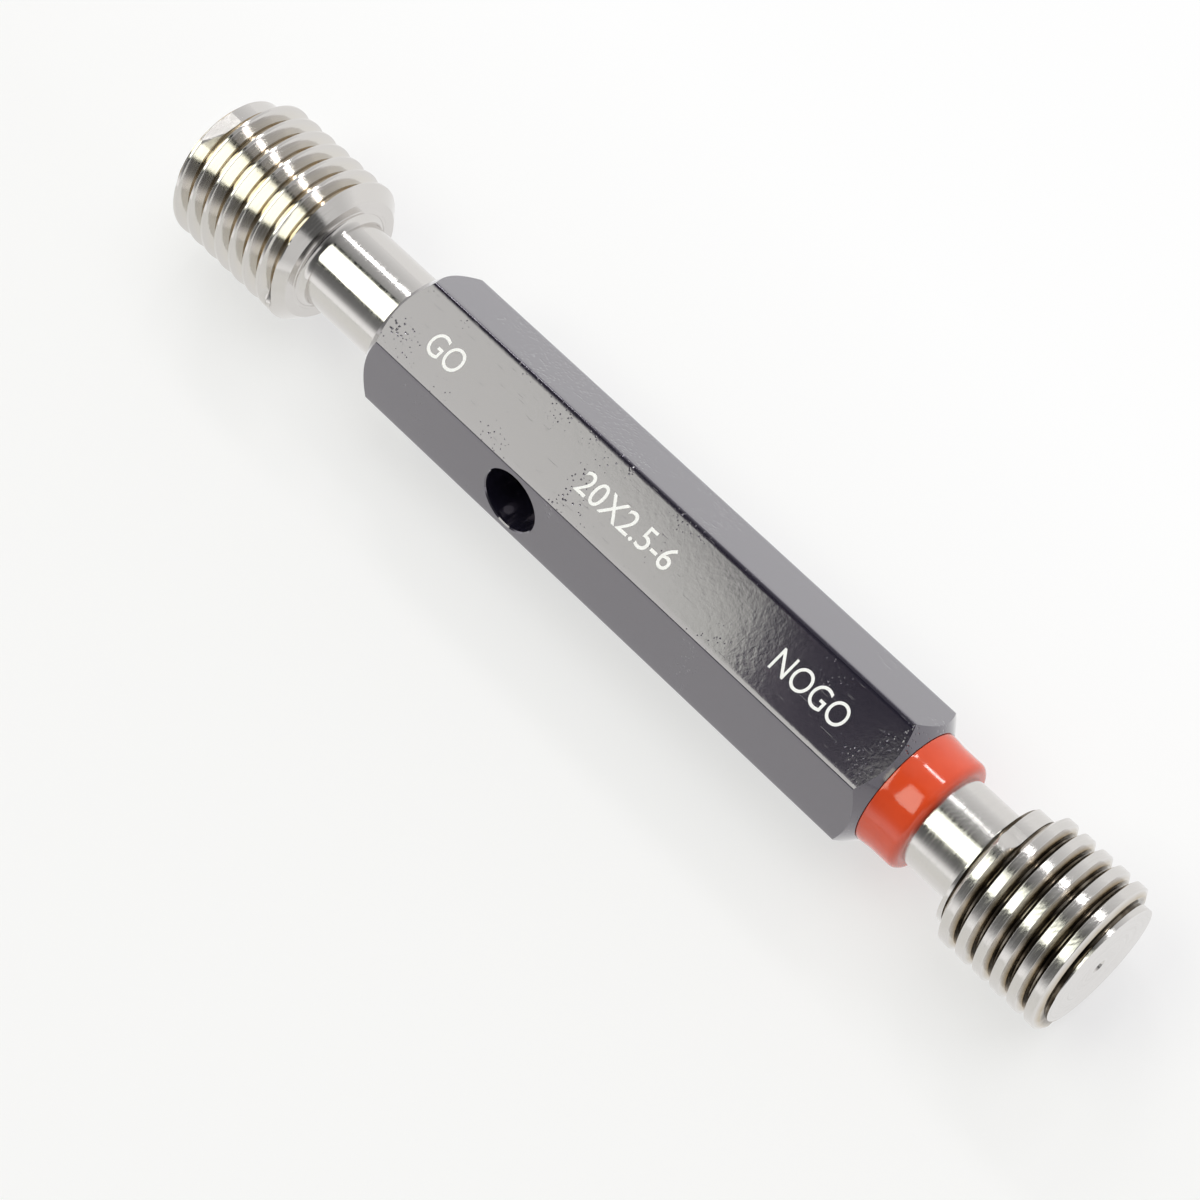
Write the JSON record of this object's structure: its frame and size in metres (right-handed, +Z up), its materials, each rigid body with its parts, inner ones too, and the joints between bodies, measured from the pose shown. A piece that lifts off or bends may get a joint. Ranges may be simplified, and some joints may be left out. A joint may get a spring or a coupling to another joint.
{
  "type": "thread plug gauge",
  "caption": "Double-ended thread plug gauge: full-thread and truncated-thread steel members held by tapers in a black hexagonal handle, with a red ring on one neck.",
  "frame": {"origin": "under the middle of the gauge's length, on the surface that its GO thread lies on", "axes": "+X along the gauge's axis from the GO end to the NOGO end, +Z up through the lettered flat of the handle, +Y to the left of +X"},
  "size_m": [0.142, 0.02, 0.02],
  "materials": {
    "black_lacquer": "gloss",
    "ground_steel": "ground",
    "red_plastic": "gloss"
  },
  "bodies": {
    "root": {"handle": "black_lacquer", "go_member": "ground_steel", "nogo_member": "ground_steel", "nogo_ring": "red_plastic"}
  },
  "joints": []
}
